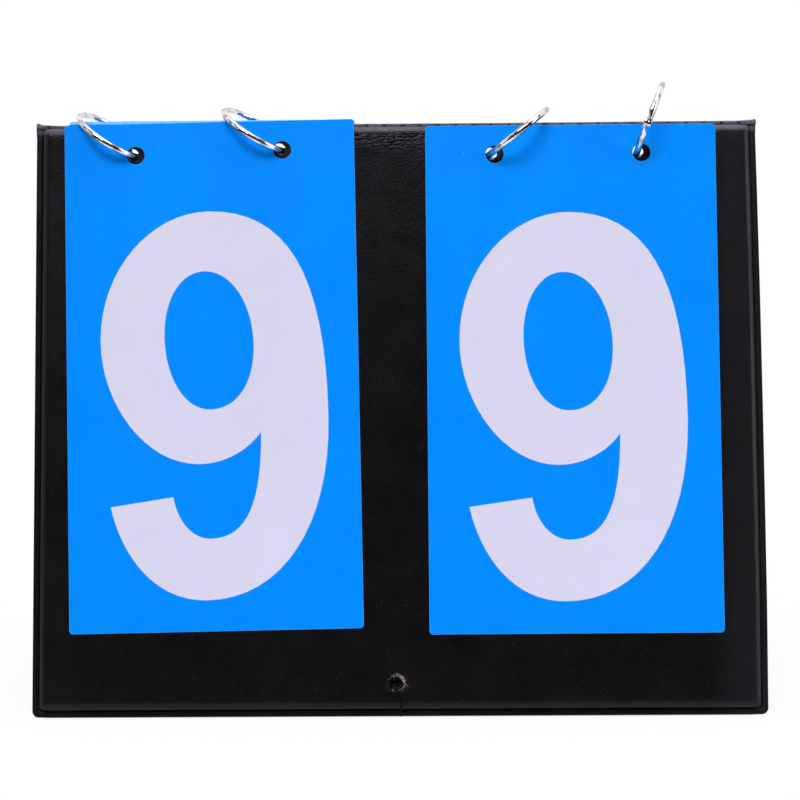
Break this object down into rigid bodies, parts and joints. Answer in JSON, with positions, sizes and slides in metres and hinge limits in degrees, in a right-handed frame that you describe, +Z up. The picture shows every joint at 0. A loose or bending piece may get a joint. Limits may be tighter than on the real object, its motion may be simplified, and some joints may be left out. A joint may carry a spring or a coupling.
{
  "type": "flip scoreboard",
  "caption": "Table-top easel scoreboard whose two decks of number cards turn over a ridge on hinged rings.",
  "frame": {"origin": "on the table below the ridge, at the middle of the base", "axes": "+X to the right seen from the front, the front faces -Y, +Z up"},
  "size_m": [0.256, 0.1144, 0.2164],
  "materials": {
    "cover_vinyl": "black grained vinyl, softly shining on its welded rounded edge",
    "core_board": "grey chipboard",
    "card_vinyl": "bright blue sheet with a pale printed number",
    "number_ink": "pale lavender white printed film",
    "ring_chrome": "bright nickel-plated steel wire",
    "tether_string": "thin black string"
  },
  "bodies": {
    "front_board": {"front_cover": "cover_vinyl", "front_core": "core_board", "front_lining": "cover_vinyl", "ridge_bead": "cover_vinyl", "tether_front_loop": "tether_string", "tether_front_knot": "tether_string", "tether_span": "tether_string"},
    "rear_board": {"rear_cover": "cover_vinyl", "rear_core": "core_board", "rear_lining": "cover_vinyl", "tether_rear_loop": "tether_string", "tether_rear_knot": "tether_string"},
    "ring_left_outer": {"ring_left_outer_lower": "ring_chrome", "ring_left_outer_rivet": "ring_chrome"},
    "gate_left_outer": {"ring_left_outer_upper": "ring_chrome"},
    "ring_left_inner": {"ring_left_inner_lower": "ring_chrome", "ring_left_inner_rivet": "ring_chrome"},
    "gate_left_inner": {"ring_left_inner_upper": "ring_chrome"},
    "ring_right_inner": {"ring_right_inner_lower": "ring_chrome", "ring_right_inner_rivet": "ring_chrome"},
    "gate_right_inner": {"ring_right_inner_upper": "ring_chrome"},
    "ring_right_outer": {"ring_right_outer_lower": "ring_chrome", "ring_right_outer_rivet": "ring_chrome"},
    "gate_right_outer": {"ring_right_outer_upper": "ring_chrome"},
    "card_left_0": {"card_left_0": "card_vinyl"},
    "card_left_1": {"card_left_1": "card_vinyl"},
    "card_left_2": {"card_left_2": "card_vinyl"},
    "card_left_3": {"card_left_3": "card_vinyl"},
    "card_left_4": {"card_left_4": "card_vinyl"},
    "card_left_5": {"card_left_5": "card_vinyl"},
    "card_left_6": {"card_left_6": "card_vinyl"},
    "card_left_7": {"card_left_7": "card_vinyl"},
    "card_left_8": {"card_left_8": "card_vinyl"},
    "card_left_9": {"card_left_9": "card_vinyl"},
    "card_right_0": {"card_right_0": "card_vinyl"},
    "card_right_1": {"card_right_1": "card_vinyl"},
    "card_right_2": {"card_right_2": "card_vinyl"},
    "card_right_3": {"card_right_3": "card_vinyl"},
    "card_right_4": {"card_right_4": "card_vinyl"},
    "card_right_5": {"card_right_5": "card_vinyl"},
    "card_right_6": {"card_right_6": "card_vinyl"},
    "card_right_7": {"card_right_7": "card_vinyl"},
    "card_right_8": {"card_right_8": "card_vinyl"},
    "card_right_9": {"card_right_9": "card_vinyl"}
  },
  "joints": [
    {"name": "easel_fold", "type": "hinge", "parent": "front_board", "child": "rear_board", "pos_m": [0, 0, 0.20284], "axis": [-1, 0, 0], "range_deg": [0, 27.5], "deforming": ["tether_span"]},
    {"name": "ring_left_outer_swing", "type": "hinge", "parent": "front_board", "child": "ring_left_outer", "pos_m": [-0.0922, 0, 0.19189], "axis": [0.225, 0.9744, 0], "range_deg": [0, 114]},
    {"name": "gate_left_outer_open", "type": "hinge", "parent": "ring_left_outer", "child": "gate_left_outer", "pos_m": [-0.09845, 0.0153, 0.19809], "axis": [-0.5307, 0.1225, -0.8387], "range_deg": [0, 60]},
    {"name": "ring_left_inner_swing", "type": "hinge", "parent": "front_board", "child": "ring_left_inner", "pos_m": [-0.0402, 0, 0.19356], "axis": [0.225, 0.9744, 0], "range_deg": [0, 115]},
    {"name": "gate_left_inner_open", "type": "hinge", "parent": "ring_left_inner", "child": "gate_left_inner", "pos_m": [-0.04678, 0.01537, 0.19973], "axis": [-0.5163, 0.1192, -0.848], "range_deg": [0, 60]},
    {"name": "ring_right_inner_swing", "type": "hinge", "parent": "front_board", "child": "ring_right_inner", "pos_m": [0.0341, 0, 0.19159], "axis": [0.1045, 0.9945, 0], "range_deg": [-109, 0]},
    {"name": "gate_right_inner_open", "type": "hinge", "parent": "ring_right_inner", "child": "gate_right_inner", "pos_m": [0.04438, 0.01249, 0.19855], "axis": [-0.6123, 0.0644, 0.788], "range_deg": [0, 60]},
    {"name": "ring_right_outer_swing", "type": "hinge", "parent": "front_board", "child": "ring_right_outer", "pos_m": [0.0862, 0, 0.19194], "axis": [0.1392, 0.9903, 0], "range_deg": [-77, 37]},
    {"name": "gate_right_outer_open", "type": "hinge", "parent": "ring_right_outer", "child": "gate_right_outer", "pos_m": [0.08817, -0.01391, 0.20262], "axis": [0.9305, -0.1308, -0.342], "range_deg": [0, 60]},
    {"name": "card_left_0_flip", "type": "hinge", "parent": "rear_board", "child": "card_left_0", "pos_m": [0, 0, 0.22286], "axis": [1, 0, 0], "range_deg": [0, 330], "deforming": ["card_left_0"]},
    {"name": "card_left_1_flip", "type": "hinge", "parent": "rear_board", "child": "card_left_1", "pos_m": [0, 0, 0.22286], "axis": [1, 0, 0], "range_deg": [0, 330], "deforming": ["card_left_1"]},
    {"name": "card_left_2_flip", "type": "hinge", "parent": "rear_board", "child": "card_left_2", "pos_m": [0, 0, 0.22286], "axis": [1, 0, 0], "range_deg": [0, 330], "deforming": ["card_left_2"]},
    {"name": "card_left_3_flip", "type": "hinge", "parent": "rear_board", "child": "card_left_3", "pos_m": [0, 0, 0.22286], "axis": [1, 0, 0], "range_deg": [0, 330], "deforming": ["card_left_3"]},
    {"name": "card_left_4_flip", "type": "hinge", "parent": "rear_board", "child": "card_left_4", "pos_m": [0, 0, 0.22286], "axis": [1, 0, 0], "range_deg": [0, 330], "deforming": ["card_left_4"]},
    {"name": "card_left_5_flip", "type": "hinge", "parent": "rear_board", "child": "card_left_5", "pos_m": [0, 0, 0.22286], "axis": [1, 0, 0], "range_deg": [0, 330], "deforming": ["card_left_5"]},
    {"name": "card_left_6_flip", "type": "hinge", "parent": "rear_board", "child": "card_left_6", "pos_m": [0, 0, 0.22286], "axis": [1, 0, 0], "range_deg": [0, 330], "deforming": ["card_left_6"]},
    {"name": "card_left_7_flip", "type": "hinge", "parent": "rear_board", "child": "card_left_7", "pos_m": [0, 0, 0.22286], "axis": [1, 0, 0], "range_deg": [0, 330], "deforming": ["card_left_7"]},
    {"name": "card_left_8_flip", "type": "hinge", "parent": "rear_board", "child": "card_left_8", "pos_m": [0, 0, 0.22286], "axis": [1, 0, 0], "range_deg": [0, 330], "deforming": ["card_left_8"]},
    {"name": "card_left_9_flip", "type": "hinge", "parent": "front_board", "child": "card_left_9", "pos_m": [0, 0, 0.22286], "axis": [-1, 0, 0], "range_deg": [0, 330], "deforming": ["card_left_9"]},
    {"name": "card_right_0_flip", "type": "hinge", "parent": "rear_board", "child": "card_right_0", "pos_m": [0, 0, 0.22286], "axis": [1, 0, 0], "range_deg": [0, 330], "deforming": ["card_right_0"]},
    {"name": "card_right_1_flip", "type": "hinge", "parent": "rear_board", "child": "card_right_1", "pos_m": [0, 0, 0.22286], "axis": [1, 0, 0], "range_deg": [0, 330], "deforming": ["card_right_1"]},
    {"name": "card_right_2_flip", "type": "hinge", "parent": "rear_board", "child": "card_right_2", "pos_m": [0, 0, 0.22286], "axis": [1, 0, 0], "range_deg": [0, 330], "deforming": ["card_right_2"]},
    {"name": "card_right_3_flip", "type": "hinge", "parent": "rear_board", "child": "card_right_3", "pos_m": [0, 0, 0.22286], "axis": [1, 0, 0], "range_deg": [0, 330], "deforming": ["card_right_3"]},
    {"name": "card_right_4_flip", "type": "hinge", "parent": "rear_board", "child": "card_right_4", "pos_m": [0, 0, 0.22286], "axis": [1, 0, 0], "range_deg": [0, 330], "deforming": ["card_right_4"]},
    {"name": "card_right_5_flip", "type": "hinge", "parent": "rear_board", "child": "card_right_5", "pos_m": [0, 0, 0.22286], "axis": [1, 0, 0], "range_deg": [0, 330], "deforming": ["card_right_5"]},
    {"name": "card_right_6_flip", "type": "hinge", "parent": "rear_board", "child": "card_right_6", "pos_m": [0, 0, 0.22286], "axis": [1, 0, 0], "range_deg": [0, 330], "deforming": ["card_right_6"]},
    {"name": "card_right_7_flip", "type": "hinge", "parent": "rear_board", "child": "card_right_7", "pos_m": [0, 0, 0.22286], "axis": [1, 0, 0], "range_deg": [0, 330], "deforming": ["card_right_7"]},
    {"name": "card_right_8_flip", "type": "hinge", "parent": "rear_board", "child": "card_right_8", "pos_m": [0, 0, 0.22286], "axis": [1, 0, 0], "range_deg": [0, 330], "deforming": ["card_right_8"]},
    {"name": "card_right_9_flip", "type": "hinge", "parent": "front_board", "child": "card_right_9", "pos_m": [0, 0, 0.22286], "axis": [-1, 0, 0], "range_deg": [0, 330], "deforming": ["card_right_9"]}
  ]
}
